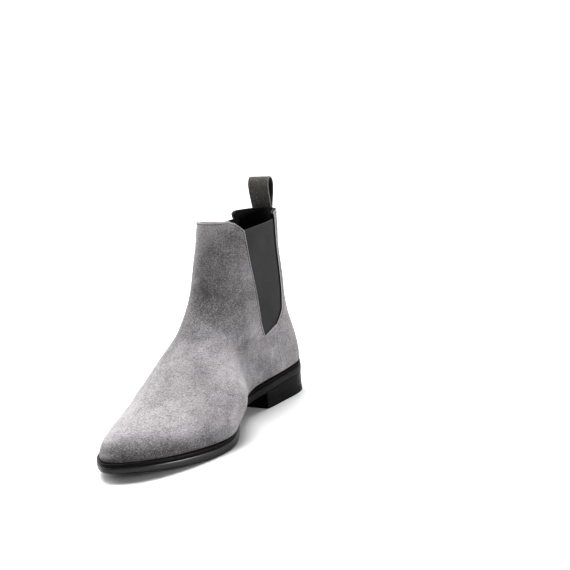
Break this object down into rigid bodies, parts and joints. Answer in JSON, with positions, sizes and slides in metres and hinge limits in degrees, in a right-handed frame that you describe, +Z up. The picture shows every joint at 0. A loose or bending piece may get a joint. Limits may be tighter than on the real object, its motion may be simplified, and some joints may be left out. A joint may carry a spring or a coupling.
{
  "type": "chelsea boot",
  "caption": "Left ankle boot in brushed suede with elastic side gussets, a pull tab at the back, a low stacked heel and a slim leather sole with a little toe spring.",
  "frame": {"origin": "on the ground under the centre of the heel's round back, on the heel tread", "axes": "+X runs to the toe, +Y to the outer (lateral) side of this left boot, +Z up"},
  "size_m": [0.3026, 0.1015, 0.2133],
  "materials": {
    "suede": "grey brushed suede with a short mottled nap",
    "elastic": "charcoal woven elastic webbing, fine vertical ribs, matte",
    "lining": "black smooth lining leather, low sheen",
    "stiffener": "off-white thermoplastic stiffener board",
    "sock": "black smooth sock leather",
    "foam": "dark grey foam",
    "board": "brown fibre insole board",
    "steel": "plain spring steel strip",
    "cork": "ground cork filler",
    "welt": "black edge-inked welt leather, satin",
    "outsole": "black edge-inked sole, satin edge, matte underside",
    "heel_stack": "black inked stacked heel, satin",
    "top_lift": "black rubber top lift, matte",
    "nail": "plain brass heel nails",
    "tab_suede": "darker grey-brown suede strip",
    "tab_lining": "pale lavender-grey lining strip"
  },
  "bodies": {
    "boot": {"vamp": "suede", "quarter": "suede", "gusset_lateral": "elastic", "gusset_medial": "elastic", "vamp_lining": "lining", "quarter_lining": "lining", "facing_front": "lining", "heel_counter": "stiffener", "heel_sock": "sock", "heel_pad": "foam", "insole_rear": "board", "shank": "steel", "filler_rear": "cork", "welt_rear": "welt", "outsole_rear": "outsole", "heel_block": "heel_stack", "heel_top_lift": "top_lift", "heel_nails": "nail"},
    "forefoot": {"outsole_forepart": "outsole", "welt_forepart": "welt", "insole_forepart": "board", "filler_forepart": "cork", "toe_puff": "stiffener"},
    "back_leaf": {"facing_back": "lining", "pull_tab_ends": "tab_suede"},
    "pull_tab": {"pull_tab": "tab_suede", "pull_tab_backing": "tab_lining"}
  },
  "joints": [
    {"name": "toe_flex", "type": "hinge", "parent": "boot", "child": "forefoot", "pos_m": [0.172, 0, 0.017], "axis": [0, -1, 0], "range_deg": [0, 45], "stiffness_Nm_per_rad": 8, "deforming": ["vamp", "vamp_lining"]},
    {"name": "collar_open", "type": "hinge", "parent": "boot", "child": "back_leaf", "pos_m": [-0.0195, 0, 0.088], "axis": [0, -1, 0], "range_deg": [0, 12], "stiffness_Nm_per_rad": 3, "deforming": ["quarter", "quarter_lining", "gusset_lateral", "gusset_medial"]},
    {"name": "pull_tab_fold", "type": "hinge", "parent": "back_leaf", "child": "pull_tab", "pos_m": [-0.0196, 0, 0.185], "axis": [0, 1, 0], "range_deg": [-45, 45], "stiffness_Nm_per_rad": 0.05}
  ]
}
